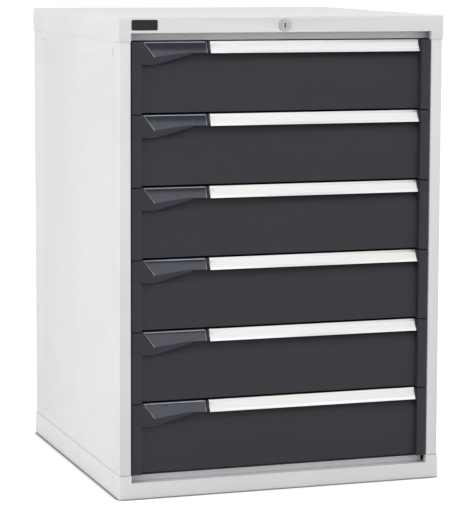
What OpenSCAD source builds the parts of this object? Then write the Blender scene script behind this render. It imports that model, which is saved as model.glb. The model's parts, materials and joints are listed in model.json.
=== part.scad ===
// Drawer cabinet in folded sheet steel: a frame with six drawers on telescopic roller runners,
// each with an aluminium handle, moulded end caps and a latch lever, and one lock for them all.
// Millimetres. X is the width, Y runs from front to back, Z is up, and the origin is at the
// middle of the footprint on the floor.

/* [Cabinet] */
// Height of the skirts of the top cover and of the base
skirt_h = 50; // [45:1:70]
// Sheet thickness of the casing and of the drawer fronts
sheet = 1.2; // [1:0.1:1.5]
// Outside radius of the folds in the casing
fold_r = 2.5; // [2:0.1:4]
// How far the cover and the base stand proud of the body
lap = 1.7; // [1.6:0.1:3]
// Width of the front frame on each side of the drawers, from the outer edge
frame_w = 27; // [26:1:40]
// Depth of the flange folded back round the opening
frame_return = 13; // [8:1:16]
// Height of the cover's lip over the drawers
cover_lip = 33.2; // [25:0.1:40]
// Height of the base's lip under the drawers
base_lip = 34.5; // [25:0.1:40]
// Width of the inward flanges on the floor
foot_flange = 22; // [12:1:40]
// Distance of the front cross rail behind the front
crossrail_back = 26; // [24:1:32]

/* [Drawers] */
// Number of drawers
drawer_count = 6; // [2:1:6]
// Height from one drawer front to the next
drawer_pitch = 150; // [130:1:200]
// Width inside a drawer
drawer_in_w = 612; // [450:1:900]
// Depth inside a drawer
drawer_in_d = 612; // [450:1:750]
// Room for the runner between the inside of a drawer and the edge of the opening
side_room = 25.5; // [25:0.1:32]
// Room behind the inside of a drawer
rear_room = 89.3; // [80:0.1:140]
// Gap between drawer fronts, and between them and the frame
front_gap = 2; // [1.5:0.1:4]
// Sheet thickness of a drawer tray
tray_wall = 1; // [0.8:0.1:1.5]
// Height of the walls of a tray
tray_h = 118; // [90:1:122]
// Width of the rim folded outwards along the walls of a tray
tray_rim = 6; // [3:0.5:8]
// How much less than its inside depth a drawer pulls out
stroke_less = 12; // [0:1:60]

/* [Drawer fronts] */
// How far the front plane of the drawers lies behind the front of the cover
face_inset = 0.5; // [0.2:0.1:2]
// Width of the strip down each side of a front
side_strip = 20.5; // [16:0.5:26]
// Depth of the panel behind those strips
recess = 11; // [8:0.5:16]
// Depth of the finger pocket behind the panel
pocket_d = 10; // [6:0.5:16]
// Height of the handle strip
handle_h = 24; // [20:0.5:30]
// Height of the sloping wall of the finger pocket
pocket_slope_h = 29; // [20:1:36]
// How far the strips reach below the panel
strip_drop = 2.5; // [0:0.1:5]
// Depth of the strips' outer return
strip_return = 18; // [8:1:20]
// Wall thickness of the aluminium extrusion
extrusion_wall = 2; // [1.5:0.1:2.5]
// Height of the label channel in the handle strip
label_h = 15.5; // [12:0.5:16]
// Thickness of the label with its clear cover
label_t = 0.9; // [0.5:0.1:1]
// Height of the lip under the label channel
handle_lip = 5.5; // [3:0.5:6]

/* [Latch and end caps] */
// Length of the left end cap, from the edge of the front
left_cap_w = 167.8; // [140:0.1:200]
// Height of the left end cap at its outer end
left_cap_h = 47; // [40:1:55]
// Height of the left end cap where it meets the handle
left_cap_tail_h = 23.1; // [21:0.1:26]
// Length of the level stretch at the foot of the left end cap
left_cap_level = 49.4; // [40:0.1:60]
// Length from the outer end to the knee of its lower edge
left_cap_knee = 130.4; // [110:0.1:138]
// Height of the right end cap
right_cap_h = 26.4; // [24:0.1:30]
// Thickness of the cheek between the lever and the handle
cap_cheek = 3.5; // [2.5:0.1:5]
// Height of the lever at its outer end
lever_h = 31; // [26:0.5:36]
// How far the top corner of the lever lies from the edge of the front
lever_in = 25.1; // [23:0.1:30]
// How far the lever's outer end leans inwards from top to foot
lever_lean = 21.6; // [10:0.1:28]
// Height of the steep upper facet of the lever
lever_facet_h = 18; // [14:0.5:20]
// Running clearance round the lever
lever_gap = 0.6; // [0.4:0.1:1]
// Radius of the lever's pivot shaft
pivot_r = 2; // [1.5:0.1:2.5]
// Angle through which the lever is pressed
lever_angle = 8; // [4:1:9]

/* [Runners] */
// Outside height of the C rails
rail_h = 36; // [30:1:44]
// Thickness of the rails
rail_t = 2; // [1.5:0.1:2.5]
// Width of the rail flanges, outside the web
rail_flange = 12; // [11:0.5:13]
// Thickness of the carriage bar
bar_t = 3; // [2:0.1:3.5]
// Gap from a rail's edge to the carriage bar
bar_gap = 1; // [0.5:0.1:1.5]
// Running clearance of the rollers between the flanges
roller_gap = 0.3; // [0.2:0.05:0.5]
// Height of the runner's centre line above the foot of the drawer front
runner_z = 55; // [42:1:80]
// Radius of the roller axles
axle_r = 4; // [3:0.5:5]
// Pitch of the slots in the uprights
slot_pitch = 25; // [20:1:40]
// Width of the uprights, front to back
upright_w = 40; // [30:1:50]

/* [Lock] */
// Height of the lock's axis below the top
lock_drop = 18.5; // [16:0.1:20]
// Radius of the lock's outer ring
lock_ring_r = 12.5; // [11:0.1:14]
// Radius of the lock's housing behind the ring
lock_body_r = 10.5; // [9.7:0.1:10.7]
// Radius of the turning barrel
barrel_r = 8.5; // [7:0.1:8.8]
// Radius of the lock rod
lock_rod_r = 5; // [4:0.1:6]
// Radius of the circle of the crank pin
crank_r = 8; // [7:0.1:9]
// Width of the lock bar
lock_bar_w = 28; // [26:1:40]

/* [Hidden] */
$fn = 48;
eps = 0.01;
drawers = [for (i = [1:drawer_count]) i];

// Overall box
open_x = drawer_in_w / 2 + side_room;
cab_w = 2 * (open_x + frame_w);
front_room = face_inset + recess + pocket_d + sheet + tray_wall;
cab_d = front_room + drawer_in_d + rear_room;
cab_h = 2 * skirt_h + drawer_count * drawer_pitch;
front_y = -cab_d / 2;
back_y = cab_d / 2;
body_x = cab_w / 2 - lap;
body_front = front_y + lap;
body_back = back_y - lap;
body_top = cab_h - sheet - 0.3;

// Drawer heights: the front of drawer i lies from foot_z(i) to top_z(i)
function top_z(i) = cab_h - skirt_h - (i - 1) * drawer_pitch - front_gap / 2;
function foot_z(i) = top_z(i) - drawer_pitch + front_gap;
function runner_at(i) = foot_z(i) + runner_z;
front_h = drawer_pitch - front_gap;

// Drawer front, from the front backwards
face_y = front_y + face_inset;
panel_y = face_y + recess;
pocket_y = panel_y + pocket_d;
front_x = open_x - front_gap;
strip_x = front_x - side_strip;
panel_foot = strip_drop;
pocket_top = front_h - handle_h;
pocket_foot = pocket_top - pocket_slope_h;

// Tray
tray_x = drawer_in_w / 2;
tray_front = pocket_y + sheet;
tray_back = tray_front + tray_wall + drawer_in_d + tray_wall;
tray_foot = panel_foot + sheet + 1.3;
stroke = drawer_in_d - stroke_less;

// Runner, from the tray outwards
drawer_rail_x = tray_x + tray_wall;
bar_x = drawer_rail_x + rail_t + rail_flange + bar_gap;
cabinet_rail_x = bar_x + bar_t + bar_gap;
web_x = cabinet_rail_x + rail_flange;
upright_x = web_x + rail_t;
roller_r = rail_h / 2 - rail_t - roller_gap;
roller_side = 0.3;
axle_head = 1;
roller_w = rail_flange - roller_side - axle_head - 0.4;
rail_stop = 3;
rail_front = tray_front + 12;
rail_back = rail_front + drawer_in_d + 14;
end_room = roller_r + rail_stop + 1;
bar_front = tray_front + 16;
bar_back = rail_back - 5;
front_upright_y = rail_front;
rear_upright_y = rail_back - upright_w;

// Fixing holes of the side panels, in line with the uprights
fixing_r = 2.2;
fixing_pitch = 11;
fixing_y = [front_upright_y + 17, rear_upright_y + 14];
fixing_z = [skirt_h + 21, cab_h - skirt_h - 18 - fixing_pitch];

// Lock: the crank swings from below level to as much above it
lock_z = cab_h - lock_drop;
crank_swing = 45;
lock_bar_t = 3;
lock_lug = 20;
lock_bar_room = 6.8;
lock_bar_y = tray_back + lock_lug + lock_bar_room;
lug_lip = 10.5;
lug_t = 2;
lug_z = runner_z + 19.5;
rod_sleeve_r = lock_rod_r + 3;
rear_rail_y = lock_bar_y - 15;
barrel_back = front_y + 24;
barrel_proud = 2.8;
ring_proud = 2;

casing = "#dfe1e4";
front_grey = "#3e3d42";
moulding = "#3b3d44";
lever_blue = "#2c3442";
aluminium = "#d9d9d6";
label_white = "#f2f1ed";
zinc = "#b9bcbf";
chrome = "#d0d2d4";
tray_grey = "#8d9196";
roller_white = "#e8e6df";

// ---------------------------------------------------------------- shapes

function unit(v) = v / norm(v);
function left_of(v) = [-v[1], v[0]];

// One corner of a path moved sideways by t, mitred so that the sheet keeps its thickness
function mitre(p, i, t) =
    let (last = len(p) - 1,
         before = left_of(unit(p[max(i, 1)] - p[max(i, 1) - 1])),
         after = left_of(unit(p[min(i, last - 1) + 1] - p[min(i, last - 1)])))
    p[i] + t * (before + after) / (1 + before * after);

// Outline of a folded sheet of thickness t on the left of the path p
function folded(p, t) =
    concat(p, [for (i = [len(p) - 1:-1:0]) mitre(p, i, t)]);

// A profile drawn in Y and Z, drawn out along X
module along_x(x0, x1) {
    translate([x0, 0, 0]) rotate([90, 0, 90]) linear_extrude(x1 - x0) children();
}

// A profile drawn in X and Z, drawn out along Y
module along_y(y0, y1) {
    translate([0, y1, 0]) rotate([90, 0, 0]) linear_extrude(y1 - y0) children();
}

module along_z(z0, z1) {
    translate([0, 0, z0]) linear_extrude(z1 - z0) children();
}

module block(low, high) {
    translate(low) cube(high - low);
}

module rod_y(x, z, r, y0, y1) {
    translate([x, y0, z]) rotate([-90, 0, 0]) cylinder(r = r, h = y1 - y0);
}

module rod_x(y, z, r, x0, x1) {
    translate([x0, y, z]) rotate([0, 90, 0]) cylinder(r = r, h = x1 - x0);
}

module both_sides() {
    children();
    mirror([1, 0, 0]) children();
}

// Rectangle with true round corners, between two corners
module rounded(low, high, r) {
    translate(low + [0, r]) square(high - low - [0, 2 * r]);
    translate(low + [r, 0]) square(high - low - [2 * r, 0]);
    for (x = [low[0] + r, high[0] - r], y = [low[1] + r, high[1] - r])
        translate([x, y]) circle(r);
}

// Box with its upright edges and its top edges rounded
module rounded_lid(w, d, h, r) {
    intersection() {
        along_z(0, h) rounded([-w / 2, -d / 2], [w / 2, d / 2], r);
        along_y(-d / 2, d / 2) rounded([-w / 2, -2 * r], [w / 2, h], r);
        along_x(-w / 2, w / 2) rounded([-d / 2, -2 * r], [d / 2, h], r);
    }
}

// Folded tray, open below: the cover, and upside down the base
module casing_tray(lip) {
    difference() {
        rounded_lid(cab_w, cab_d, skirt_h, fold_r);
        translate([0, 0, -eps])
            rounded_lid(cab_w - 2 * sheet, cab_d - 2 * sheet, skirt_h - sheet + eps,
                        fold_r - sheet);
        block([-open_x, front_y - 1, -1], [open_x, front_y + frame_return, skirt_h - lip]);
    }
    // Return flange of the lip
    block([-open_x, front_y + sheet, skirt_h - lip],
          [open_x, front_y + frame_return, skirt_h - lip + sheet]);
}

// ---------------------------------------------------------------- casing

module top_cover() color(casing) {
    difference() {
        translate([0, 0, cab_h - skirt_h]) casing_tray(cover_lip);
        rod_y(0, lock_z, lock_body_r + 0.1, front_y - 1, front_y + sheet + 1);
    }
}

module base_plinth() color(casing) {
    deck_z = base_lip;
    mirror([0, 0, 1]) translate([0, 0, -skirt_h]) difference() {
        casing_tray(base_lip);
        // The floor side is open inside the flanges
        block([-cab_w / 2 + foot_flange, front_y + foot_flange, skirt_h - 3 * sheet],
              [cab_w / 2 - foot_flange, back_y - foot_flange, skirt_h + 1]);
    }
    // Deck on which the sides and the uprights stand
    difference() {
        block([-cab_w / 2 + sheet / 2, front_y + frame_return - sheet, deck_z - sheet],
              [cab_w / 2 - sheet / 2, back_y - sheet / 2, deck_z]);
        // Relief slots beside the returns of the side panels
        both_sides()
            block([open_x - 4, front_y + frame_return + 2, deck_z - 2 * sheet],
                  [open_x - 0.5, front_y + 3 * frame_return, deck_z + 1]);
    }
}

// Side panel with its front strip and return, and a rear flange for the back panel
module side_panel() color(casing) {
    low = [open_x, body_front];
    high = [body_x, body_back];
    rear_flange = 15;
    difference() {
        along_z(base_lip, body_top) difference() {
            rounded(low, high, fold_r);
            rounded(low + [sheet, sheet], high - [sheet, sheet], fold_r - sheet);
            // Open inwards between the return and the rear flange
            translate([open_x - 1, body_front + frame_return])
                square([body_x - sheet - open_x + 1, body_back - body_front - frame_return
                        - sheet]);
            translate([open_x - 1, body_back - 2 * sheet])
                square([body_x - rear_flange - open_x + 1, 3 * sheet]);
        }
        // Pairs of fixing holes near the corners
        for (y = fixing_y, z = fixing_z, step = [0, 1])
            rod_x(y, z + step * fixing_pitch, fixing_r, body_x - 2 * sheet, body_x + 1);
    }
}

module right_side_panel() side_panel();

module left_side_panel() mirror([1, 0, 0]) side_panel();

// Back panel with the channel that guides the lock bar
module back_panel() color(casing) {
    side = body_x - 15 - 0.5;
    block([-side, body_back - sheet, base_lip], [side, body_back, body_top]);
    // Flanges that lie against the rear flanges of the sides
    both_sides()
        block([side - sheet, body_back - 14, base_lip],
              [side, body_back - sheet + eps, body_top]);
    channel_x = lock_bar_w / 2 + 2;
    lip_x = lock_bar_w / 2 - 2.4;
    play = 0.6;
    both_sides() along_z(base_lip + 10, lock_z - crank_r - 14) union() {
        polygon(folded([[lip_x, lock_bar_y - play - sheet],
                        [channel_x, lock_bar_y - play - sheet],
                        [channel_x, body_back - sheet + eps]], sheet));
        translate([lip_x, lock_bar_y + lock_bar_t + play]) square([channel_x - lip_x, sheet]);
    }
}

// Slotted uprights, one at each corner, with the latch strikes on the left front one
module upright(y0) {
    depth = body_x - sheet - upright_x;
    web = 1.5;
    y1 = y0 + upright_w;
    slot_w = 8;
    slot_h = 10;
    z1 = cab_h - skirt_h - 4;
    translate([upright_x, 0, 0]) rotate([90, 0, 90]) linear_extrude(web) difference() {
        translate([y0, base_lip]) square([upright_w, z1 - base_lip]);
        for (i = drawers, j = [-2:3])
            translate([y0 + upright_w / 2 - slot_w / 2,
                       runner_at(i) + j * slot_pitch - slot_h / 2])
                square([slot_w, slot_h]);
    }
    for (y = [y0, y1 - web])
        block([upright_x + web - eps, y, base_lip], [upright_x + depth, y + web, z1]);
}

module uprights() color(zinc) {
    both_sides() {
        upright(front_upright_y);
        upright(rear_upright_y);
    }
    // Strikes for the latch hooks
    for (i = drawers)
        block([-upright_x - eps, strike_y, strike_top(i) - strike_h],
              [-hook_x + 3, strike_y + strike_t, strike_top(i)]);
}

// C rail, open towards the middle, hooked into the uprights
module cabinet_rails() color(zinc) both_sides() for (i = drawers) {
    z = runner_at(i);
    along_y(rail_front, rail_back)
        polygon([for (p = c_section()) [upright_x - p[0], z + p[1]]]);
    // End stops
    for (y = [rail_front, rail_back - rail_stop])
        block([web_x - rail_stop, y, z - rail_h / 4], [web_x + eps, y + rail_stop, z + rail_h / 4]);
    // Hooks in the slots of the uprights
    for (y = [front_upright_y, rear_upright_y])
        block([upright_x - eps, y + upright_w / 2 - 3, z - 4],
              [upright_x + 3, y + upright_w / 2 + 3, z + 4]);
}

// C profile with its web on X = 0, opening towards +X
function c_section() =
    [[0, -rail_h / 2], [rail_t + rail_flange, -rail_h / 2],
     [rail_t + rail_flange, -rail_h / 2 + rail_t], [rail_t, -rail_h / 2 + rail_t],
     [rail_t, rail_h / 2 - rail_t], [rail_t + rail_flange, rail_h / 2 - rail_t],
     [rail_t + rail_flange, rail_h / 2], [0, rail_h / 2]];

// Front and rear cross rails between the sides, each a folded C
module crossrails() color(casing) {
    flange = 20;
    z0 = cab_h - skirt_h + 1.2;
    z1 = cab_h - sheet - 1;
    front = front_y + crossrail_back;
    difference() {
        along_x(-open_x - 6, open_x + 6)
            polygon(folded([[front + flange, z0], [front, z0], [front, z1],
                            [front + flange, z1]], -sheet));
        rod_y(0, lock_z, rod_sleeve_r + 0.6, front - 1, front + 2 * sheet);
    }
    difference() {
        along_x(-body_x + sheet, body_x - sheet)
            polygon(folded([[rear_rail_y - flange, z0], [rear_rail_y, z0], [rear_rail_y, z1],
                            [rear_rail_y - flange, z1]], sheet));
        rod_y(0, lock_z, lock_rod_r + 0.2, rear_rail_y - 2 * sheet, rear_rail_y + 1);
    }
}

// ---------------------------------------------------------------- lock

module lock_housing() color(chrome) difference() {
    union() {
        rod_y(0, lock_z, lock_ring_r, front_y - ring_proud, front_y);
        rod_y(0, lock_z, lock_body_r, front_y - eps, barrel_back - 4);
        // Nut behind the cover
        translate([0, front_y + sheet + 6, lock_z]) rotate([90, 0, 0])
            cylinder(r = lock_body_r + 5, h = 6, $fn = 6);
    }
    rod_y(0, lock_z, barrel_r + 0.05, front_y - ring_proud - 1, barrel_back);
}

module lock_barrel() color(chrome) {
    difference() {
        rod_y(0, lock_z, barrel_r, front_y - barrel_proud, barrel_back);
        block([-1.5, front_y - barrel_proud - 1, lock_z - 5],
              [1.5, front_y + 8, lock_z + 5]);
    }
    // Square tail
    block([-3.5, barrel_back - eps, lock_z - 3.5], [3.5, barrel_back + 8, lock_z + 3.5]);
}

module lock_rod() color(zinc) {
    sleeve_y = barrel_back + 0.3;
    disc_y = lock_bar_y - 9;
    disc_t = 4;
    rod_y(0, lock_z, lock_rod_r, sleeve_y + 12 - eps, disc_y + eps);
    difference() {
        rod_y(0, lock_z, rod_sleeve_r, sleeve_y, sleeve_y + 12);
        block([-3.6, sleeve_y - 1, lock_z - 3.6], [3.6, sleeve_y + 8, lock_z + 3.6]);
    }
    // Crank at the rear end, with its pin below level at rest
    translate([0, disc_y + disc_t, lock_z]) rotate([90, 0, 0])
        cylinder(r = crank_r + 4, h = disc_t);
    rod_y(crank_r * cos(crank_swing), lock_z - crank_r * sin(crank_swing), 2.5,
          disc_y + disc_t - eps, lock_bar_y + lock_bar_t + 0.5);
}

module lock_bar() color(zinc) {
    pin_z = lock_z - crank_r * sin(crank_swing);
    foot = base_lip + 14;
    difference() {
        block([-lock_bar_w / 2, lock_bar_y, foot],
              [lock_bar_w / 2, lock_bar_y + lock_bar_t, pin_z + 9]);
        // Slot for the crank pin
        block([crank_r * cos(crank_swing) - 3.2, lock_bar_y - 1, pin_z - 2.9],
              [crank_r + 3.2, lock_bar_y + lock_bar_t + 1, pin_z + 2.9]);
    }
    // Hooks, folded forward and up
    for (i = drawers) {
        z = foot_z(i) + lug_z - lug_lip - 1;
        hook_front = tray_back + lock_lug / 2;
        along_x(-8, 8)
            polygon(folded([[lock_bar_y + eps, z - 11], [hook_front, z - 11],
                            [hook_front, z]], -lug_t));
    }
}

// ---------------------------------------------------------------- drawers

// Tray: bottom, four walls with a rim folded outwards, and the lug for the lock bar
module tray(i) color(tray_grey) translate([0, 0, foot_z(i)]) {
    top = tray_foot + tray_h;
    out = tray_x + tray_wall;
    difference() {
        block([-out, tray_front, tray_foot], [out, tray_back, top]);
        block([-tray_x, tray_front + tray_wall, tray_foot + tray_wall],
              [tray_x, tray_back - tray_wall, top + 1]);
    }
    both_sides()
        block([out - eps, tray_front + 1, top - tray_wall], [out + tray_rim, tray_back, top]);
    along_x(-9, 9)
        polygon(folded([[tray_back - eps, lug_z + lug_t], [tray_back + lock_lug, lug_z + lug_t],
                        [tray_back + lock_lug, lug_z - lug_lip + lug_t]], -lug_t));
}

// Steel front: a strip down each side, and between them the recessed panel with its pocket
module front(i) color(front_grey) translate([0, 0, foot_z(i)]) {
    difference() {
        union() {
            both_sides() along_z(0, front_h - sheet)
                polygon(folded([[strip_x, pocket_y + sheet],
                                [strip_x, face_y],
                                [front_x, face_y],
                                [front_x, face_y + strip_return]], sheet));
            // Panel, drawn from its foot flange up into the pocket
            along_x(-strip_x, strip_x)
                polygon(folded([[tray_front + 14, panel_foot],
                                [panel_y, panel_foot],
                                [panel_y, pocket_foot],
                                [pocket_y, pocket_top],
                                [pocket_y, front_h - extrusion_wall - 0.1]], -sheet));
        }
        // The end caps take the place of the strips at the top
        block([strip_x - eps, face_y - 1, front_h - right_cap_h], [front_x + 1, tray_front + 1,
                                                                  front_h + 1]);
        block([-front_x - 1, face_y - 1, front_h - left_cap_h], [-strip_x + eps, tray_front + 1,
                                                               front_h + 1]);
    }
}

// Handle: aluminium extrusion with a sloping face, a label channel and a rear leg
handle_x0 = -front_x + left_cap_w + 1.4;
handle_x1 = strip_x - 4.3;
handle_len = norm([recess, handle_h]);
module handle(i) color(aluminium) translate([0, 0, top_z(i)]) {
    top_front = [panel_y, 0];
    foot_front = [face_y, -handle_h];
    down = unit(foot_front - top_front);
    back = left_of(down);
    w = extrusion_wall;
    channel_foot = top_front + down * (handle_len - handle_lip);
    channel_top = top_front + down * (handle_len - handle_lip - label_h);
    along_x(handle_x0, handle_x1) difference() {
        polygon([top_front, foot_front,
                 foot_front + back * w,
                 top_front + [w, -w],
                 [pocket_y - w, -w],
                 [pocket_y - w, -handle_h + 6],
                 [pocket_y, -handle_h + 6],
                 [pocket_y, 0]]);
        polygon([channel_top, channel_foot, channel_foot + back * label_t,
                 channel_top + back * label_t]);
    }
}

module label(i) color(label_white) translate([0, 0, top_z(i)]) {
    top_front = [panel_y, 0];
    down = unit([-recess, -handle_h]);
    back = left_of(down);
    channel_foot = top_front + down * (handle_len - handle_lip);
    channel_top = top_front + down * (handle_len - handle_lip - label_h);
    along_x(handle_x0 + 1, handle_x1 - 1)
        polygon([channel_top, channel_foot, channel_foot + back * label_t,
                 channel_top + back * label_t]);
}

// Lever outline in X and Z from the top of the front, drawn larger by g. Its outer end leans, so
// the gap there is wider along X.
lever_x0 = -front_x + lever_in;
lever_x1 = -front_x + left_cap_w - cap_cheek;
lever_tail_h = left_cap_tail_h - 0.2;
module lever_outline(g = 0) {
    end_g = 2 * g;
    polygon([[lever_x0 - end_g, g], [lever_x1 - 3.4 + g, g],
             [lever_x1 + g, -lever_tail_h - g],
             [lever_x0 + lever_lean - end_g, -lever_h - g]]);
}

pivot_y = face_y + 13.5;
lever_drop = (pivot_y - face_y) * sin(lever_angle);
// The lever sits this far below its outline, and the lip in front of its foot is so short that
// the foot swings in past it before it has dropped through the gap
lever_sink = lever_gap / 2;
pocket_lip = 0.8 * (lever_gap - lever_sink);
pivot_z = -6;
hook_x = front_x - 9;
hook_w = 4;
strike_y = front_upright_y + 5;
strike_t = 2;
strike_h = 14;
function strike_top(i) = top_z(i) + pivot_z - 13;

// Left end cap: a moulding with the lever's pocket, and right end cap
module end_caps(i) color(moulding) translate([0, 0, top_z(i)]) {
    x0 = -front_x;
    x1 = -front_x + left_cap_w;
    difference() {
        intersection() {
            // Front view
            along_y(face_y - 1, tray_front)
                polygon([[x0, 0], [x1, 0], [x1, -left_cap_tail_h],
                         [x0 + left_cap_knee, -left_cap_tail_h - 2.3],
                         [x0 + left_cap_level, -left_cap_h], [x0, -left_cap_h]]);
            // Plan
            along_z(-left_cap_h - 1, 1)
                polygon([[x0, face_y], [x0 + left_cap_level, face_y], [x1, face_y + 3.5],
                         [x1, pocket_y], [-strip_x, pocket_y], [-strip_x, face_y + strip_return],
                         [x0, face_y + strip_return]]);
            // Side view: clear of the sloping wall of the pocket
            union() {
                along_x(-strip_x, x1)
                    polygon([[face_y, 0], [pocket_y, 0], [pocket_y, -handle_h],
                             [panel_y, -handle_h - pocket_slope_h], [face_y, -left_cap_h]]);
                along_x(x0, -strip_x + eps)
                    translate([face_y, -left_cap_h]) square([strip_return, left_cap_h]);
            }
        }
        // Pocket for the lever, deeper where its foot swings down as it is pressed
        along_y(face_y - 1, pocket_y - 3) lever_outline(lever_gap);
        along_y(face_y + pocket_lip, pocket_y - 3) translate([0, -lever_drop])
            lever_outline(lever_gap);
        // Bore for the pivot shaft
        rod_x(pivot_y, pivot_z, pivot_r + 0.2, -hook_x - hook_w, x1 - 1);
        // Slot for the hook arm
        block([-hook_x - hook_w / 2 - 0.6, pivot_y - 5, pivot_z - 5],
              [-hook_x + hook_w / 2 + 0.6, face_y + strip_return + 1, 1]);
    }
    // Right end cap: a block on the strip and a cheek that closes the handle's end
    intersection() {
        along_y(face_y, face_y + strip_return) translate([strip_x, -right_cap_h])
            square([side_strip, right_cap_h]);
        along_x(strip_x, front_x)
            polygon([[face_y, -right_cap_h], [face_y, -1.5], [face_y + 1.5, 0],
                     [face_y + strip_return, 0], [face_y + strip_return, -right_cap_h]]);
    }
    along_x(strip_x - 3.5, strip_x + eps)
        polygon([[panel_y - 1, 0], [pocket_y, 0], [pocket_y, -handle_h],
                 [panel_y, -handle_h - 2], [face_y + 1, -handle_h - 2], [face_y + 1, -handle_h]]);
}

// Latch: the scooped lever, its shaft, and the arm and hook behind the strike
module latch(i) color(lever_blue) translate([0, 0, top_z(i)]) {
    facet_y = face_y + 6.5;
    back = pocket_y - 3 - 4.5;
    rise = 2.5;
    intersection() {
        along_y(face_y, back) translate([0, -lever_sink]) lever_outline();
        // The facets rise a little towards the handle
        translate([lever_x0, 0, 0]) rotate([0, -rise, 0]) along_x(-20, lever_x1 - lever_x0 + 20)
            polygon([[face_y + 9, 6], [face_y + 9, 0], [facet_y, -lever_facet_h],
                     [face_y, -lever_h - 0.5], [face_y, -lever_h - 16], [back, -lever_h - 16],
                     [back, 6]]);
    }
    rod_x(pivot_y, pivot_z, pivot_r, -hook_x - 1, lever_x1 + 1.5);
    // Arm and hook
    along_x(-hook_x - hook_w / 2, -hook_x + hook_w / 2)
        polygon([[pivot_y - 4, pivot_z - 4], [pivot_y - 4, pivot_z + 3],
                 [strike_y + strike_t + 6, pivot_z + 3], [strike_y + strike_t + 6, pivot_z - 12.5],
                 [strike_y + strike_t + 1.5, pivot_z - 12.5], [strike_y + strike_t + 1.5,
                 pivot_z - 4]]);
}

// C rails on the sides of the tray
module rails(i) color(zinc) both_sides() {
    z = runner_at(i);
    along_y(tray_front + 10, tray_back)
        polygon([for (p = c_section()) [drawer_rail_x + p[0], z + p[1]]]);
}

// Carriage: a bar on each side, with rollers in the drawer's rail and in the cabinet's
drawer_roller_y = [tray_front + 10 + end_room, tray_back - stroke / 2 - end_room];
cabinet_roller_y = [rail_front + stroke / 2 + end_room, rail_back - end_room];
module carriage(i) color(zinc) both_sides() {
    z = runner_at(i);
    block([bar_x, bar_front, z - rail_h / 2 + 2], [bar_x + bar_t, bar_back, z + rail_h / 2 - 2]);
    for (y = drawer_roller_y) translate([bar_x, y, z]) rotate([0, -90, 0]) roller();
    for (y = cabinet_roller_y) translate([bar_x + bar_t, y, z]) rotate([0, 90, 0]) roller();
}

// Roller on its axle, standing on the bar
module roller() {
    cylinder(r = axle_r, h = roller_side + roller_w + axle_head);
    translate([0, 0, roller_side + roller_w]) cylinder(r = axle_r + 3, h = axle_head);
    color(roller_white) translate([0, 0, roller_side]) difference() {
        cylinder(r = roller_r, h = roller_w - 0.1);
        translate([0, 0, -1]) cylinder(r = axle_r + 0.1, h = roller_w + 2);
    }
}

// ---------------------------------------------------------------- nodes

top_cover();
base_plinth();
left_side_panel();
right_side_panel();
back_panel();
uprights();
cabinet_rails();
crossrails();
lock_housing();
lock_barrel();
lock_rod();
lock_bar();
for (i = drawers) {
    tray(i);
    front(i);
    handle(i);
    label(i);
    end_caps(i);
    rails(i);
    latch(i);
    carriage(i);
}
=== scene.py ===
"""Looks of a sheet-steel workshop cabinet with six drawers.

Every size is in metres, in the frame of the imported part: +X to the right seen from the front,
+Y from the drawer fronts to the back, +Z up, and the floor at Z = 0.
"""

import json
import math

import bmesh
import bpy
from mathutils import Matrix, Vector

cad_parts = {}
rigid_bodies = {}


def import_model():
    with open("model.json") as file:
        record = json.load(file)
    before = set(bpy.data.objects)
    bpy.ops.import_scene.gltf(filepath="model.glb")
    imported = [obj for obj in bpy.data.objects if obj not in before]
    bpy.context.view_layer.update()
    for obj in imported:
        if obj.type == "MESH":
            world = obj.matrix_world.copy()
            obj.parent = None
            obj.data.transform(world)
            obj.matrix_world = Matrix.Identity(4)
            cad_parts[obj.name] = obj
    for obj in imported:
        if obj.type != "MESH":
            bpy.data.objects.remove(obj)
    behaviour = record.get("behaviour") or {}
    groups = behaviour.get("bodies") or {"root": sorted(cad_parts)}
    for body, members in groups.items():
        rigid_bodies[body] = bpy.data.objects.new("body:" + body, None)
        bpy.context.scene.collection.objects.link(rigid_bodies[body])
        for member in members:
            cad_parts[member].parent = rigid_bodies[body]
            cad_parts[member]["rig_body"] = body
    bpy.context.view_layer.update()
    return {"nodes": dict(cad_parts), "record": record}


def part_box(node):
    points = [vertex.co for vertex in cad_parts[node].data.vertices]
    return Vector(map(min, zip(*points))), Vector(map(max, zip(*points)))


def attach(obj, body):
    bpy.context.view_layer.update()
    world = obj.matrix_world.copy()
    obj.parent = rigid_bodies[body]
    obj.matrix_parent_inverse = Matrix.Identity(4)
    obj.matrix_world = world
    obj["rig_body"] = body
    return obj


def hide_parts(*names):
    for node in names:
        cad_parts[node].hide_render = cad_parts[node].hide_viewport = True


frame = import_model()
NODES = frame["nodes"]
DRAWERS = range(1, 1 + sum(name.endswith("_tray") for name in NODES))

# ------------------------------------------------------------------ sizes

MM = 0.001
EDGE = 0.5 * MM  # rounding of the drawer fronts
FINE_EDGE = 0.3 * MM  # rounding of the casing, the mouldings and the extrusion
SHARP = math.radians(35)  # edges that turn more than this are rounded
MERGE = 0.002 * MM  # points nearer than this are one
FLAT = math.radians(1)  # faces that turn less than this are one
FINE_FLAT = math.radians(0.05)  # the same, on the levers' crowned faces
PAST = MM  # how far a cutting form reaches past what it cuts
JOIN = 0.01 * MM  # how far forms that are joined reach into each other

BADGE_SIZE = (55.6 * MM, 21.6 * MM)
BADGE_THICK = 0.7 * MM
BADGE_CORNER = 3.2 * MM
CHAMFER_SHARE = 0.4  # of the badge's thickness
BADGE_FROM_LEFT = 27.8 * MM  # from the cover's left edge to the badge
BADGE_FROM_TOP = 6 * MM
CORNER_STEPS = 8

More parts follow.
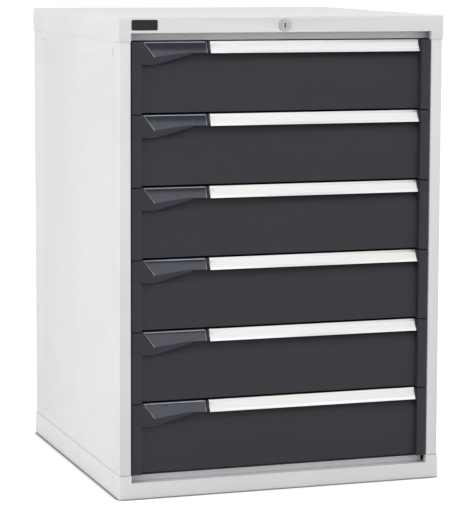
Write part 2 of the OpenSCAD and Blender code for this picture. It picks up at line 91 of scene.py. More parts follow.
# The left end cap, from its outer end, the drawer's face plane and the drawer's top
CAP_LONG = 167.8 * MM
CAP_HIGH = 47 * MM
CAP_TAIL = 23.1 * MM  # height where it meets the handle
CAP_LEVEL = 49.4 * MM  # length of the level stretch at its foot
CAP_KNEE = 130.4 * MM  # where its foot bends, near the handle
CAP_KNEE_HIGH = CAP_TAIL + 2.3 * MM
CAP_FALL = 3.5 * MM  # how far its face falls back towards the handle
CAP_CHEEK = 5.2 * MM  # between the lever and the handle
STRIP_WIDE = 20.5 * MM  # the strip down the side of the drawer front
STRIP_RETURN = 18 * MM
PANEL_IN = 11 * MM  # the recessed panel, behind the face plane
POCKET_IN = 21 * MM  # the back of the finger pocket, behind the face plane
POCKET_SLOPE = 29 * MM  # height of the slope below it, which ends on the panel
HANDLE_HIGH = 24 * MM

# The lever in that cap
LEVER_HIGH = 31 * MM
LEVER_IN = 25.1 * MM  # its outer top corner
LEVER_LEAN = 21.6 * MM  # how far its outer end leans inwards, from top to foot
LEVER_KNEE = 118 * MM  # where its foot turns level
LEVER_END = CAP_LONG - CAP_CHEEK
LEVER_TAIL = CAP_TAIL - 0.2 * MM
LEVER_KNEE_HIGH = LEVER_TAIL - 0.6 * MM
LEVER_CORNER = 3 * MM
LEVER_GAP = 0.6 * MM  # round it
LEVER_SINK = LEVER_GAP / 2  # its top lies this far below the cap's
LEVER_BACK = POCKET_IN - 7.5 * MM
LEVER_TOP_IN = 9 * MM  # how far the top of its face lies behind the foot
LEVER_FOOT = LEVER_HIGH + 0.5 * MM  # height of the arc of its face
LEVER_FACE_R = 250 * MM  # radius to which the face is crowned
LEVER_ROUND = 2 * MM  # rounding along the top and the ends of the face
ROUND_STEPS = 4
FACE_ABOVE = 6 * MM  # the face's form starts this far above the lever
FACE_FIRST = -6 * MM  # its first strip ends here, well below the rounding along the top
FACE_STEP = 2 * MM
FACE_STRIPS = 19
RIM_FORWARD, RIM_ACROSS, RIM_DOWN = 0.8, 0.2, 0.9  # limits of the normals beside its rim
LEVER_SWING = math.radians(8)
POCKET_DEEP = POCKET_IN - 3 * MM
HINGE_IN = POCKET_DEEP - 4.5 * MM  # the lever's hinge, behind the face plane
POCKET_LIP = 1.3 * (LEVER_GAP - LEVER_SINK)  # thickness of the lip in front of the pocket

# The block that takes the solid's own blade away, from the cap's outer top corner
OLD_BLADE_FROM = 15 * MM
OLD_BLADE_DOWN = 45 * MM
OLD_BLADE_PAST = 1.8 * MM  # beyond the end of the new blade

LABEL_PROUD = 0.12 * MM  # the clear cover stands this far out of its channel
# Square to the handle's sloping face, whose top lies as far back as the recessed panel
LABEL_OUT = Vector((0, -HANDLE_HIGH, PANEL_IN)).normalized() * LABEL_PROUD

SHEET = 1.2 * MM  # thickness
SILL_FOOT = 34.5 * MM  # the deck, on which the lower front cross rail stands
SILL_HIGH = 11.5 * MM
SILL_DEEP = 20 * MM
SKIRT = 50 * MM  # height of the base
STRIP_SLOT = 0.8 * MM  # between the foot of the front strips and the base
SLOT_FROM_OPENING = 4.5 * MM  # the slot stops this far short of the opening
BASE_HOLE = (-310.8 * MM, 37.5 * MM)  # Y and Z of the fixing hole in the base's sides
HOLE_R = 2.2 * MM

RIVET_R = 3.6 * MM
RIVET_HIGH = 1.1 * MM
RIVET_IN = 12 * MM  # from the side edges of the back panel
RIVET_FOOT, RIVET_TOP = 30 * MM, 60 * MM  # from its foot and its top
RIVETS_UP = 7
RIVET_STEPS = 16
RIVET_DOME = ((1, 0), (0.93, 0.5), (0.6, 0.88), (0.2, 1))  # shares of radius and height


# ------------------------------------------------------------------ materials


class Nodes:
    """A material's node tree, with short calls for the nodes that the finishes share."""

    def __init__(self, name):
        self.material = bpy.data.materials.new(name)
        self.material.use_nodes = True
        self.tree = self.material.node_tree
        self.shader = self.tree.nodes["Principled BSDF"]
        self.place = self.add("ShaderNodeTexCoord").outputs["Object"]

    def add(self, kind, **values):
        node = self.tree.nodes.new(kind)
        for key, value in values.items():
            setattr(node, key, value)
        return node

    def link(self, source, target):
        self.tree.links.new(source, target)

    def stretched(self, scale):
        """Object coordinates scaled by axis, for grain that runs along one."""
        mapping = self.add("ShaderNodeMapping")
        mapping.inputs["Scale"].default_value = scale
        self.link(self.place, mapping.inputs["Vector"])
        return mapping.outputs["Vector"]

    def noise(self, size, detail=2.0, place=None):
        """Noise whose patches are about size metres across."""
        node = self.add("ShaderNodeTexNoise")
        node.inputs["Scale"].default_value = 1 / size
        node.inputs["Detail"].default_value = detail
        self.link(place or self.place, node.inputs["Vector"])
        return node.outputs["Fac"]

    def cells(self, size, place=None):
        """One random grey value for each cell of about size metres."""
        node = self.add("ShaderNodeTexVoronoi")
        node.inputs["Scale"].default_value = 1 / size
        self.link(place or self.place, node.inputs["Vector"])
        return node.outputs["Color"]

    def ranged(self, value, low, high):
        """A value from the middle of a noise's range, spread from low to high."""
        node = self.add("ShaderNodeMapRange")
        node.inputs["From Min"].default_value = 0.3
        node.inputs["From Max"].default_value = 0.7
        node.inputs["To Min"].default_value = low
        node.inputs["To Max"].default_value = high
        self.link(value, node.inputs["Value"])
        return node.outputs["Result"]

    def mixed(self, factor, first, second):
        node = self.add("ShaderNodeMix", data_type="RGBA")
        self.link(factor, node.inputs["Factor"])
        node.inputs["A"].default_value = (*first, 1)
        node.inputs["B"].default_value = (*second, 1)
        return node.outputs["Result"]

    def bump(self, height, distance, strength=1.0, under=None):
        node = self.add("ShaderNodeBump")
        node.inputs["Distance"].default_value = distance
        node.inputs["Strength"].default_value = strength
        self.link(height, node.inputs["Height"])
        if under:
            self.link(under, node.inputs["Normal"])
        return node.outputs["Normal"]

    def set(self, **values):
        """Fixed values of the shader's inputs."""
        for key, value in values.items():
            self.shader.inputs[key.replace("_", " ")].default_value = value

    def drive(self, **sources):
        """Inputs of the shader that other nodes feed."""
        for key, source in sources.items():
            self.link(source, self.shader.inputs[key.replace("_", " ")])


def shade(colour, factor):
    """A lighter or darker colour."""
    return tuple(min(c * factor, 1.0) for c in colour)


def powder_coat(name, colour, roughness, grain=1.1 * MM, depth=0.014 * MM, spread=0.02,
                gloss=0.5):
    """Powder coat: a fine orange peel over a slow, faint change of shade."""
    n = Nodes(name)
    slow = n.noise(180 * MM, 3)
    n.drive(Base_Color=n.mixed(n.ranged(slow, 0, 1), shade(colour, 1 - spread),
                               shade(colour, 1 + spread)))
    n.drive(Roughness=n.ranged(n.noise(35 * MM, 4), roughness - 0.03, roughness + 0.03))
    peel = n.bump(n.noise(grain, 1.5), depth)
    n.drive(Normal=n.bump(n.noise(14 * MM, 1), 0.02 * MM, 0.6, peel))
    n.set(Specular_IOR_Level=gloss)
    return n.material


def zinc_plate():
    """Rolled steel with a zinc coat: faint spangle, and fine lines along the runners."""
    n = Nodes("zinc plate")
    lines = n.noise(0.8 * MM, 3, n.stretched((1, 0.02, 1)))
    spangle = n.cells(5 * MM)
    split = n.add("ShaderNodeSeparateColor")
    n.link(spangle, split.inputs["Color"])
    n.set(Metallic=1.0)
    n.drive(Base_Color=n.mixed(split.outputs["Red"], (0.56, 0.575, 0.595),
                               (0.66, 0.665, 0.67)))
    n.drive(Roughness=n.ranged(lines, 0.27, 0.42))
    n.drive(Normal=n.bump(lines, 0.006 * MM))
    return n.material


def satin_aluminium():
    """Anodised extrusion: die lines along X and a soft satin face."""
    n = Nodes("satin aluminium")
    lines = n.noise(0.5 * MM, 4, n.stretched((0.004, 1, 1)))
    n.set(Metallic=1.0, Anisotropic=0.3)
    n.drive(Base_Color=n.mixed(n.ranged(n.noise(90 * MM), 0, 1), (0.57, 0.565, 0.555),
                               (0.6, 0.595, 0.585)))
    n.drive(Roughness=n.ranged(lines, 0.3, 0.42))
    n.drive(Normal=n.bump(lines, 0.004 * MM))
    return n.material


def label_card():
    """Blank white card under a clear strip: faint fibres below a smooth coat."""
    n = Nodes("label card")
    fibres = n.noise(0.35 * MM, 5, n.stretched((0.3, 1, 1)))
    n.set(Coat_Weight=0.08, Coat_Roughness=0.2)
    n.drive(Base_Color=n.mixed(n.ranged(fibres, 0, 1), (0.868, 0.862, 0.842),
                               (0.885, 0.88, 0.862)))
    n.drive(Roughness=n.ranged(fibres, 0.5, 0.62))
    n.drive(Normal=n.bump(n.noise(25 * MM, 1), 0.02 * MM, 0.4))
    return n.material


def moulding(name, colour, roughness, grain, depth, spread=0.05, gloss=0.5):
    """Moulded plastic with an eroded grain, flow marks and a faint change of gloss."""
    n = Nodes(name)
    flow = n.noise(40 * MM, 2, n.stretched((0.5, 1, 1)))
    n.drive(Base_Color=n.mixed(n.ranged(flow, 0, 1), shade(colour, 1 - spread),
                               shade(colour, 1 + spread)))
    n.drive(Roughness=n.ranged(n.noise(12 * MM, 3), roughness - 0.03, roughness + 0.04))
    eroded = n.bump(n.noise(grain, 2), depth)
    n.drive(Normal=n.bump(n.noise(30 * MM, 1), 0.06 * MM, 0.5, eroded))
    n.set(Specular_IOR_Level=gloss)
    return n.material


def satin_chrome():
    """Lock: plated and satin, with fine specks."""
    n = Nodes("satin chrome")
    n.set(Metallic=1.0)
    speck = n.noise(1.5 * MM, 4)
    n.drive(Base_Color=n.mixed(n.ranged(speck, 0, 1), (0.33, 0.33, 0.34), (0.4, 0.4, 0.405)))
    n.drive(Roughness=n.ranged(speck, 0.2, 0.3))
    n.drive(Normal=n.bump(n.noise(0.4 * MM, 2), 0.004 * MM))
    return n.material


CASING = powder_coat("pale grey powder coat", (0.714, 0.712, 0.717), 0.5)
FRONT = powder_coat("anthracite powder coat", (0.0278, 0.0262, 0.0326), 0.55, gloss=0.25)
TRAY = powder_coat("mid grey powder coat", (0.33, 0.34, 0.355), 0.48)
ZINC = zinc_plate()
ALUMINIUM = satin_aluminium()
CARD = label_card()
CAP = moulding("anthracite moulding", (0.0192, 0.0192, 0.0275), 0.5, 0.5 * MM, 0.02 * MM,
               gloss=0.3)
LEVER = moulding("blue-grey gloss moulding", (0.0085, 0.0125, 0.028), 0.12, 4 * MM, 0.002 * MM,
                 gloss=0.32)
# Painted highlight: a light grey on the levers' rounded rims that stands in for light glinting
# along their edges
PAINTED_RIM_HIGHLIGHT = moulding("painted rim highlight", (0.34, 0.35, 0.37), 0.22, 2 * MM, 0.01 * MM,
                      spread=0.25)
CHROME = satin_chrome()
BADGE = moulding("black badge enamel", (0.008, 0.008, 0.009), 0.3, 3 * MM, 0.008 * MM,
                 gloss=0.25)

MATERIAL_OF_SLOT = {
    "casing": CASING,
    "front_paint": FRONT,
    "tray_paint": TRAY,
    "zinc_steel": ZINC,
    "handle_aluminium": ALUMINIUM,
    "label_strip": CARD,
    "cap_moulding": CAP,
    "lever_moulding": LEVER,
    "lock_chrome": CHROME,
}


def dress(piece, material):
    """The material in the first slot, with the faces' slot numbers kept."""
    while len(piece.data.materials) > 1:
        piece.data.materials.pop()
    if piece.data.materials:
        piece.data.materials[0] = material
    else:
        piece.data.materials.append(material)


slot_of = {part["node"]: part["material_slot"] for part in frame["record"]["subparts"]}
for name, node in NODES.items():
    dress(node, MATERIAL_OF_SLOT[slot_of[name]])

# ------------------------------------------------------------------ softened copies of solids


def placed(mesh):
    """An object of the mesh, in the scene."""
    piece = bpy.data.objects.new(mesh.name, mesh)
    bpy.context.scene.collection.objects.link(piece)
    return piece


def cleaned(mesh, flat=FLAT):
    """The mesh with doubled points merged, flat faces made whole and all faces smooth."""
    form = bmesh.new()
    form.from_mesh(mesh)
    bmesh.ops.remove_doubles(form, verts=form.verts, dist=MERGE)
    bmesh.ops.dissolve_limit(form, angle_limit=flat, verts=form.verts, edges=form.edges)
    for face in form.faces:
        face.smooth = True
    form.to_mesh(mesh)
    form.free()
    return mesh


def softened(name, radius, mesh=None, second=None):
    """A copy of a solid, or another mesh, that stands for it with its edges rounded.

    A second material is for the faces whose slot number is 1.
    """
    if mesh is None:
        mesh = cleaned(NODES[name].data.copy())
    mesh.name = name + "_soft"
    piece = placed(mesh)
    bevel = piece.modifiers.new("edge", "BEVEL")
    bevel.width = radius
    bevel.segments = 2
    bevel.limit_method = "ANGLE"
    bevel.angle_limit = SHARP
    bevel.harden_normals = True
    dress(piece, MATERIAL_OF_SLOT[slot_of[name]])
    if second:
        piece.data.materials.append(second)
        weighted = piece.modifiers.new("even", "WEIGHTED_NORMAL")
        weighted.mode = "FACE_AREA"
        weighted.weight = 100
    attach(piece, NODES[name]["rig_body"])
    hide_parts(name)


# ------------------------------------------------------------------ forms cut from prisms

X, Y, Z = range(3)


def prism(axis, outline, start, end):
    """A closed prism along an axis; its outline is in the other two, in their order."""
    form = bmesh.new()
    ends = []
    for along in (start, end):
        ring = []
        for point in outline:
            corner = list(point)
            corner.insert(axis, along)
            ring.append(form.verts.new(corner))
        ends.append(ring)
        form.faces.new(ring)
    for k in range(len(outline)):
        form.faces.new((ends[0][k - 1], ends[0][k], ends[1][k], ends[1][k - 1]))
    bmesh.ops.recalc_face_normals(form, faces=form.faces)
    mesh = bpy.data.meshes.new("prism")
    form.to_mesh(mesh)
    form.free()
    return placed(mesh)


def block(low, high):
    """A box between two corners."""
    return prism(Z, [(low[0], low[1]), (high[0], low[1]), (high[0], high[1]),
                     (low[0], high[1])], low[2], high[2])


def ring_of(radius, middle, steps=24):
    """The corners of a many-sided ring round a middle."""
    return [(middle[0] + radius * math.cos(2 * math.pi * k / steps),
             middle[1] + radius * math.sin(2 * math.pi * k / steps)) for k in range(steps)]


def combined(first, operation, second):
    """The first form joined with, cut by or kept inside the second, which is used up."""
    step = first.modifiers.new("step", "BOOLEAN")
    step.operation = operation
    step.solver = "EXACT"
    step.object = second
    graph = bpy.context.evaluated_depsgraph_get()
    result = bpy.data.meshes.new_from_object(first.evaluated_get(graph))
    first.modifiers.clear()
    first.data = result
    bpy.data.objects.remove(second)
    return first


def taken(piece):
    """The mesh of a form whose object is no longer needed."""
    mesh = piece.data
    bpy.data.objects.remove(piece)
    return mesh


def moved(mesh, way):
    """A copy of the mesh, moved that way."""
    copy = mesh.copy()
    copy.transform(Matrix.Translation(way))
    return copy


# ------------------------------------------------------------------ camera

CAMERA_PLACE = Vector((-1.640860, -4.917251, 1.136536))
CAMERA_YAW = 0.332556  # from +Y towards +X
CAMERA_PITCH = 0.109198  # downwards
CAMERA_ROLL = 0.004602
FOCAL_PIXELS = 2325.58
LONG_SIDE_PIXELS = 512
SENSOR = 36.0
SHIFT = (-0.05, -0.10)
CLIP_END = 200


def make_camera():
    data = bpy.data.cameras.new("camera")
    data.sensor_width = SENSOR
    data.lens = FOCAL_PIXELS / LONG_SIDE_PIXELS * SENSOR
    data.shift_x, data.shift_y = SHIFT
    data.clip_end = CLIP_END
    camera = bpy.data.objects.new("camera", data)
    bpy.context.scene.collection.objects.link(camera)
    yaw, pitch, roll = CAMERA_YAW, CAMERA_PITCH, CAMERA_ROLL
    ahead = Vector((math.sin(yaw) * math.cos(pitch), math.cos(yaw) * math.cos(pitch),
                    -math.sin(pitch)))
    level = Vector((math.cos(yaw), -math.sin(yaw), 0))
    upright = level.cross(ahead)
    right = level * math.cos(roll) + upright * math.sin(roll)
    above = upright * math.cos(roll) - level * math.sin(roll)
    turn = Matrix((right, above, -ahead)).transposed()
    camera.matrix_world = Matrix.Translation(CAMERA_PLACE) @ turn.to_4x4()
    bpy.context.scene.camera = camera


# ------------------------------------------------------------------ floor, world and lamps

FLOOR_RADIUS = 14.0
FLOOR_DROP = 0.05 * MM  # so that it doesn't lie in one plane with the base's foot
FLOOR_SEGMENTS = 64
FLOOR_GREY = 0.8
FLOOR_LIFT = 0.56  # white added to what the camera sees of the floor
CONTACT_SHADOW_REACH = 0.022  # painted contact shadow: the dark line where the base meets the floor
CONTACT_SHADOW_RANGE = (0.5, 0.72)
CONTACT_SHADOW_GREY = 0.16
SHADE_REACH = 0.2  # the soft shade round it
SHADE_RANGE = (0.45, 0.9)
SHADE_SHARE = 0.5  # of the added white, left where that shade is deepest
WORLD_COLOUR = (0.97, 0.985, 1.0, 1)
WORLD_STRENGTH = 0.62


def seen_directly(nodes, links):
    """1 for camera, glossy and transmission rays, 0 for the others."""
    path = nodes.new("ShaderNodeLightPath")
    total = path.outputs["Is Camera Ray"]
    for name in ("Is Glossy Ray", "Is Transmission Ray"):
        add = nodes.new("ShaderNodeMath")
        add.operation = "MAXIMUM"
        links.new(total, add.inputs[0])
        links.new(path.outputs[name], add.inputs[1])
        total = add.outputs[0]
    return total


def make_world():
    """A dim pale sky for the light, and plain white where the camera or a gloss sees it."""
    world = bpy.data.worlds.new("studio")
    bpy.context.scene.world = world
    world.use_nodes = True
    nodes, links = world.node_tree.nodes, world.node_tree.links
    nodes.clear()
    light = nodes.new("ShaderNodeBackground")
    light.inputs["Color"].default_value = WORLD_COLOUR
    light.inputs["Strength"].default_value = WORLD_STRENGTH
    white = nodes.new("ShaderNodeBackground")
    white.inputs["Strength"].default_value = 1.0
    white.inputs["Color"].default_value = (1, 1, 1, 1)
    mix = nodes.new("ShaderNodeMixShader")
    out = nodes.new("ShaderNodeOutputWorld")
    links.new(seen_directly(nodes, links), mix.inputs["Fac"])
    links.new(light.outputs[0], mix.inputs[1])
    links.new(white.outputs[0], mix.inputs[2])
    links.new(mix.outputs[0], out.inputs["Surface"])


def product(nodes, links, first, second):
    """Two values multiplied."""
    node = nodes.new("ShaderNodeMath")
    node.operation = "MULTIPLY"
    links.new(first, node.inputs[0])
    links.new(second, node.inputs[1])
    return node.outputs[0]


def nearness(nodes, links, reach, low, high):
    """0 beside the object and 1 away from it, from how much of the sky it hides."""
    hidden = nodes.new("ShaderNodeAmbientOcclusion")
    hidden.inputs["Distance"].default_value = reach
    spread = nodes.new("ShaderNodeMapRange")
    spread.inputs["From Min"].default_value = low
    spread.inputs["From Max"].default_value = high
    links.new(hidden.outputs["AO"], spread.inputs["Value"])
    return spread.outputs["Result"]


def make_floor():
    """A white floor with a painted dark shadow line under the base and a painted soft shade
    round it.
    """
    mesh = bpy.data.meshes.new("floor")
    form = bmesh.new()
    bmesh.ops.create_circle(form, cap_ends=True, segments=FLOOR_SEGMENTS, radius=FLOOR_RADIUS)
    form.to_mesh(mesh)
    form.free()
    floor = bpy.data.objects.new("floor", mesh)
    floor.location.z = -FLOOR_DROP
    bpy.context.scene.collection.objects.link(floor)
    material = bpy.data.materials.new("pale floor")
    material.use_nodes = True
    nodes, links = material.node_tree.nodes, material.node_tree.links
    nodes.clear()
    # Masks for the painted contact shadow and the painted soft shade
    gap = nearness(nodes, links, CONTACT_SHADOW_REACH, *CONTACT_SHADOW_RANGE)
    shade_near = nearness(nodes, links, SHADE_REACH, *SHADE_RANGE)
    shade_part = nodes.new("ShaderNodeMapRange")
    shade_part.inputs["To Min"].default_value = SHADE_SHARE * FLOOR_LIFT
    shade_part.inputs["To Max"].default_value = FLOOR_LIFT
    links.new(shade_near, shade_part.inputs["Value"])
    # Painted contact shadow: the floor's colour darkens to grey along the base's foot
    colour = nodes.new("ShaderNodeMix")
    colour.data_type = "RGBA"
    links.new(gap, colour.inputs["Factor"])
    colour.inputs["A"].default_value = (CONTACT_SHADOW_GREY, CONTACT_SHADOW_GREY, CONTACT_SHADOW_GREY, 1)
    colour.inputs["B"].default_value = (FLOOR_GREY, FLOOR_GREY, FLOOR_GREY, 1)
    diffuse = nodes.new("ShaderNodeBsdfDiffuse")
    links.new(colour.outputs["Result"], diffuse.inputs["Color"])
    # Painted shade: less white is added near the object
    lift = product(nodes, links, shade_part.outputs["Result"], gap)
    lift = product(nodes, links, lift, seen_directly(nodes, links))
    glow = nodes.new("ShaderNodeEmission")
    links.new(lift, glow.inputs["Strength"])
    add = nodes.new("ShaderNodeAddShader")
    links.new(diffuse.outputs[0], add.inputs[0])
    links.new(glow.outputs[0], add.inputs[1])
    out = nodes.new("ShaderNodeOutputMaterial")
    links.new(add.outputs[0], out.inputs["Surface"])
    mesh.materials.append(material)


def lamp(name, place, aim, size, power, colour=(1, 1, 1)):
    """A soft box at place, facing aim. Size is its width and height, power is in watts."""
    data = bpy.data.lights.new(name, "AREA")
    data.shape = "RECTANGLE"
    data.size, data.size_y = size
    data.energy = power
    data.color = colour
    light = bpy.data.objects.new(name, data)
    bpy.context.scene.collection.objects.link(light)
    light.location = place
    light.rotation_euler = (Vector(aim) - Vector(place)).to_track_quat("-Z", "Y").to_euler()


MIDDLE = (0, 0, 0.5)
LEVERS = (-0.25, -0.36, 0.6)
FAR_RANGE = 40.0
FAR_AZIMUTH = math.radians(19)  # from -Y towards +X
FAR_TOP, FAR_FOOT = math.radians(27.4), math.radians(3)  # above the level
FAR_WIDE = math.radians(14)
FAR_RADIANCE = 2.6

far_middle = (FAR_TOP + FAR_FOOT) / 2
FAR_SCREEN = Vector(LEVERS) + FAR_RANGE * Vector((
    math.sin(FAR_AZIMUTH) * math.cos(far_middle), -math.cos(FAR_AZIMUTH) * math.cos(far_middle),
    math.sin(far_middle)))
FAR_SIZE = (2 * FAR_RANGE * math.tan(FAR_WIDE / 2),
            2 * FAR_RANGE * math.tan((FAR_TOP - FAR_FOOT) / 2))
FAR_POWER = math.pi * FAR_RADIANCE * FAR_SIZE[0] * FAR_SIZE[1]

make_camera()
make_world()
make_floor()
lamp("left softbox", (-3.4, -0.9, 1.5), MIDDLE, (2.4, 2.4), 47)
lamp("right softbox", (3.2, -1.6, 2.0), MIDDLE, (2.4, 2.4), 20)
lamp("front softbox", (-0.8, -3.2, 3.0), MIDDLE, (2.0, 1.4), 8)
lamp("top softbox", (0.2, -0.6, 3.6), MIDDLE, (2.6, 2.6), 22)
lamp("high screen", (2.6, -8.5, 10.0), LEVERS, (5.0, 4.2), 45)
# A far, low screen whose upper edge shows across the levers' crowned faces
lamp("far screen", FAR_SCREEN, LEVERS, FAR_SIZE, FAR_POWER, (0.97, 0.96, 1.0))

# ------------------------------------------------------------------ left end caps and levers


def lever_outline(grown=0.0):
    """The lever in X and Z, with its top inner corner round; its outer gap is doubled."""
    end = 2 * grown
    slope = (LEVER_HIGH - LEVER_KNEE_HIGH) / (LEVER_KNEE - LEVER_IN - LEVER_LEAN)
    round_part = []
    for k in range(ROUND_STEPS + 1):
        angle = math.pi / 2 * (1 - k / ROUND_STEPS)
        round_part.append((LEVER_END - LEVER_CORNER + (LEVER_CORNER + grown) * math.cos(angle),
                           -LEVER_CORNER + (LEVER_CORNER + grown) * math.sin(angle)))
    return [(LEVER_IN - end, grown), *round_part, (LEVER_END + grown, -LEVER_TAIL - grown),
            (LEVER_KNEE, -LEVER_KNEE_HIGH - grown),
            (LEVER_IN + LEVER_LEAN - end, -LEVER_HIGH - grown - end * slope)]


def crown(z):
    """Y of the lever's face, an arc that bulges forwards between its top and its foot."""
    chord = math.hypot(LEVER_TOP_IN, LEVER_FOOT)
    behind = math.sqrt(LEVER_FACE_R ** 2 - (chord / 2) ** 2) / chord
    middle = (LEVER_TOP_IN / 2 + LEVER_FOOT * behind, -LEVER_FOOT / 2 - LEVER_TOP_IN * behind)
    return middle[0] - math.sqrt(LEVER_FACE_R ** 2 - (z - middle[1]) ** 2)


def on_rim(edge):
    """Whether an edge lies between the lever's face and its top or ends, not its foot."""
    normals = sorted((face.normal for face in edge.link_faces), key=lambda normal: normal.y)
    if len(normals) != 2:
        return False
    face, beside = normals
    return face.y < -RIM_FORWARD and abs(beside.y) < RIM_ACROSS and beside.z > -RIM_DOWN


def lever_blade():
    """The lever's blade, with a crowned face whose rounded rim has slot number 1, for the
    painted highlight.
    """
    heights = [FACE_ABOVE] + [FACE_FIRST - k * FACE_STEP for k in range(FACE_STRIPS)]
    back = LEVER_BACK + PAST
    behind = prism(X, [(crown(z), z) for z in heights]
                   + [(back, heights[-1]), (back, FACE_ABOVE)], 0, CAP_LONG)
    blade = prism(Y, [(x, z - LEVER_SINK) for x, z in lever_outline()], 0, LEVER_BACK)
    blade = combined(blade, "INTERSECT", behind)
    form = bmesh.new()
    form.from_mesh(blade.data)
    bmesh.ops.remove_doubles(form, verts=form.verts, dist=MERGE)
    rounded = bmesh.ops.bevel(form, geom=[edge for edge in form.edges if on_rim(edge)],
                              offset=LEVER_ROUND, segments=ROUND_STEPS, profile=0.5,
                              affect="EDGES", clamp_overlap=False)
    for face in rounded["faces"]:
        face.material_index = 1
    form.to_mesh(blade.data)
    form.free()
    return blade


def cap_plan(shift=0.0):
    """The cap seen from above, as a prism; shift moves it back."""
    outline = [(0, 0), (CAP_LEVEL, 0), (CAP_LONG, CAP_FALL), (CAP_LONG, POCKET_IN),
               (STRIP_WIDE, POCKET_IN), (STRIP_WIDE, STRIP_RETURN), (0, STRIP_RETURN)]
    return prism(Z, [(x, y + shift) for x, y in outline], -CAP_HIGH - PAST, PAST)


def left_cap():
    """The moulding round the lever, open below from its knee to the cheek."""
    cap = prism(Y, [(0, 0), (CAP_LONG, 0), (CAP_LONG, -CAP_TAIL), (CAP_KNEE, -CAP_KNEE_HIGH),
                    (CAP_LEVEL, -CAP_HIGH), (0, -CAP_HIGH)], -PAST, POCKET_IN + PAST)
    cap = combined(cap, "INTERSECT", cap_plan())
    side = prism(X, [(0, 0), (POCKET_IN, 0), (POCKET_IN, -HANDLE_HIGH),
                     (PANEL_IN, -HANDLE_HIGH - POCKET_SLOPE), (0, -CAP_HIGH)],
                 STRIP_WIDE, CAP_LONG + PAST)
    side = combined(side, "UNION", block((-PAST, -PAST, -CAP_HIGH - PAST),
                                         (STRIP_WIDE + JOIN, STRIP_RETURN, PAST)))
    cap = combined(cap, "INTERSECT", side)
    swung = HINGE_IN * math.sin(LEVER_SWING)  # how far the lever's face sinks when pressed
    deeper = prism(Y, [(x, z - swung) for x, z in lever_outline(LEVER_GAP)], 0, POCKET_DEEP)
    deeper = combined(deeper, "INTERSECT", cap_plan(POCKET_LIP))
    cap = combined(cap, "DIFFERENCE", prism(Y, lever_outline(LEVER_GAP), -PAST, POCKET_DEEP))
    cap = combined(cap, "DIFFERENCE", deeper)
    return combined(cap, "DIFFERENCE",
                    block((CAP_KNEE, -PAST, -CAP_HIGH),
                          (LEVER_END + LEVER_GAP, POCKET_DEEP, -LEVER_TAIL)))


first_low, first_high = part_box("drawer_1_end_caps")
cap_corner = Vector((first_low.x, first_low.y, first_high.z))
cap_mesh = moved(taken(left_cap()), cap_corner)
blade = lever_blade()
blade.data.transform(Matrix.Translation(cap_corner))
latch = placed(cleaned(NODES["drawer_1_latch"].data.copy()))
old_blade = block(cap_corner + Vector((OLD_BLADE_FROM, -PAST, -OLD_BLADE_DOWN)),
                  cap_corner + Vector((LEVER_END + OLD_BLADE_PAST, LEVER_BACK, PAST)))
latch = combined(combined(latch, "DIFFERENCE", old_blade), "UNION", blade)
latch_mesh = cleaned(taken(latch), FINE_FLAT)

# The right cap stays as the solid has it; both caps are one piece
right_cap = bmesh.new()
right_cap.from_mesh(cleaned(NODES["drawer_1_end_caps"].data.copy()))
bmesh.ops.delete(right_cap, geom=[v for v in right_cap.verts if v.co.x < 0], context="VERTS")
right_cap.from_mesh(cap_mesh)
right_cap.to_mesh(cap_mesh)
right_cap.free()
cap_mesh = cleaned(cap_mesh)

for i in DRAWERS:
    down = Vector((0, 0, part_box(f"drawer_{i}_end_caps")[1].z - cap_corner.z))
    softened(f"drawer_{i}_end_caps", FINE_EDGE, moved(cap_mesh, down))
    # The levers' rim faces take the painted highlight
    softened(f"drawer_{i}_latch", FINE_EDGE, moved(latch_mesh, down), PAINTED_RIM_HIGHLIGHT)
    softened(f"drawer_{i}_front", EDGE)
    softened(f"drawer_{i}_handle", FINE_EDGE)
    label_mesh = cleaned(NODES[f"drawer_{i}_label"].data.copy())
    softened(f"drawer_{i}_label", FINE_EDGE / 2, moved(label_mesh, LABEL_OUT))

# ------------------------------------------------------------------ casing


def own_piece(piece, name, material):
    """A piece that the solids lack, which rides on the cabinet."""
    piece.name = name
    dress(piece, material)
    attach(piece, "cabinet")


def channel(front, foot, half):
    """A folded channel along X whose web stands in front, its flanges behind."""
    web, back, top = front + SHEET, front + SILL_DEEP, foot + SILL_HIGH
    return prism(X, [(front, foot), (back, foot), (back, foot + SHEET), (web, foot + SHEET),
                     (web, top - SHEET), (back, top - SHEET), (back, top), (front, top)],
                 -half, half)


open_half = -first_low.x  # half the width of the opening
sill = channel(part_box("crossrails")[0].y, SILL_FOOT, open_half)
own_piece(sill, "lower_front_rail", CASING)

base_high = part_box("base_plinth")[1]
base = placed(cleaned(NODES["base_plinth"].data.copy()))
for side in (-1, 1):
    skin = side * base_high.x
    hole = prism(X, ring_of(HOLE_R, BASE_HOLE), skin - side * 2 * SHEET, skin + side * PAST)
    base = combined(base, "DIFFERENCE", hole)
softened("base_plinth", FINE_EDGE, cleaned(taken(base)))

for name, side in (("left_side_panel", -1), ("right_side_panel", 1)):
    low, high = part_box(name)
    panel = placed(cleaned(NODES[name].data.copy()))
    outer = side * (max(abs(low.x), abs(high.x)) + PAST)
    inner = side * (open_half + SLOT_FROM_OPENING)
    gap = block((min(inner, outer), low.y - PAST, SKIRT),
                (max(inner, outer), low.y + SHEET, SKIRT + STRIP_SLOT))
    softened(name, FINE_EDGE, cleaned(taken(combined(panel, "DIFFERENCE", gap))))
softened("top_cover", FINE_EDGE)


def add_rivet(form, x, y, z):
    """A low dome that stands on the back panel, with its middle at that point."""
    rings = []
    for across, high in RIVET_DOME:
        rings.append([form.verts.new((px, y + RIVET_HIGH * high, pz))
                      for px, pz in ring_of(RIVET_R * across, (x, z), RIVET_STEPS)])
    for near, far in zip(rings, rings[1:]):
        for k in range(RIVET_STEPS):
            form.faces.new((near[k - 1], near[k], far[k], far[k - 1])).smooth = True
    form.faces.new(rings[-1]).smooth = True
    form.faces.new(rings[0])


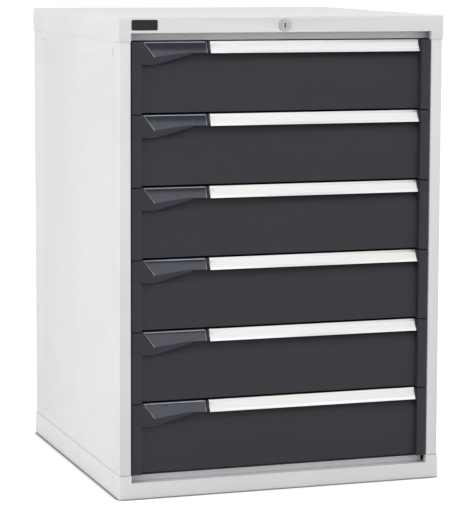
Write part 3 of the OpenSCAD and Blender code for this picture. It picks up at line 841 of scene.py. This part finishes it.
def rivet_rows(low, high):
    """A row of rivets up each side of the back panel."""
    form = bmesh.new()
    pitch = (high.z - low.z - RIVET_FOOT - RIVET_TOP) / (RIVETS_UP - 1)
    for x in (low.x + RIVET_IN, high.x - RIVET_IN):
        for k in range(RIVETS_UP):
            add_rivet(form, x, high.y, low.z + RIVET_FOOT + k * pitch)
    bmesh.ops.recalc_face_normals(form, faces=form.faces)
    mesh = bpy.data.meshes.new("rivets")
    form.to_mesh(mesh)
    form.free()
    return placed(mesh)


own_piece(rivet_rows(*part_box("back_panel")), "back_rivets", ZINC)

# ------------------------------------------------------------------ badge


def rounded_plate(name, width, height, thick, corner):
    """A thin plate in XZ with round corners and rounded edges, its back on Y = 0."""
    form = bmesh.new()
    ring = []
    for quarter, (sx, sz) in enumerate(((1, 1), (-1, 1), (-1, -1), (1, -1))):
        for k in range(CORNER_STEPS + 1):
            angle = math.pi / 2 * (quarter + k / CORNER_STEPS)
            ring.append((sx * (width / 2 - corner) + corner * math.cos(angle),
                         sz * (height / 2 - corner) + corner * math.sin(angle)))
    face = form.faces.new([form.verts.new((x, 0, z)) for x, z in ring])
    front = bmesh.ops.extrude_face_region(form, geom=[face])["geom"]
    bmesh.ops.translate(form, vec=(0, -thick, 0),
                        verts=[v for v in front if isinstance(v, bmesh.types.BMVert)])
    bmesh.ops.recalc_face_normals(form, faces=form.faces)
    mesh = bpy.data.meshes.new(name)
    form.to_mesh(mesh)
    form.free()
    plate = placed(mesh)
    bevel = plate.modifiers.new("edge", "BEVEL")
    bevel.width = thick * CHAMFER_SHARE
    bevel.segments = 2
    bevel.limit_method = "ANGLE"
    bevel.harden_normals = True
    return plate


cover_low, cover_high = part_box("top_cover")
badge = rounded_plate("badge_plate", *BADGE_SIZE, BADGE_THICK, BADGE_CORNER)
badge.location = (cover_low.x + BADGE_FROM_LEFT + BADGE_SIZE[0] / 2, cover_low.y,
                  cover_high.z - BADGE_FROM_TOP - BADGE_SIZE[1] / 2)
dress(badge, BADGE)
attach(badge, "cabinet")

# ------------------------------------------------------------------ colour view

bpy.context.scene.view_settings.view_transform = "Standard"
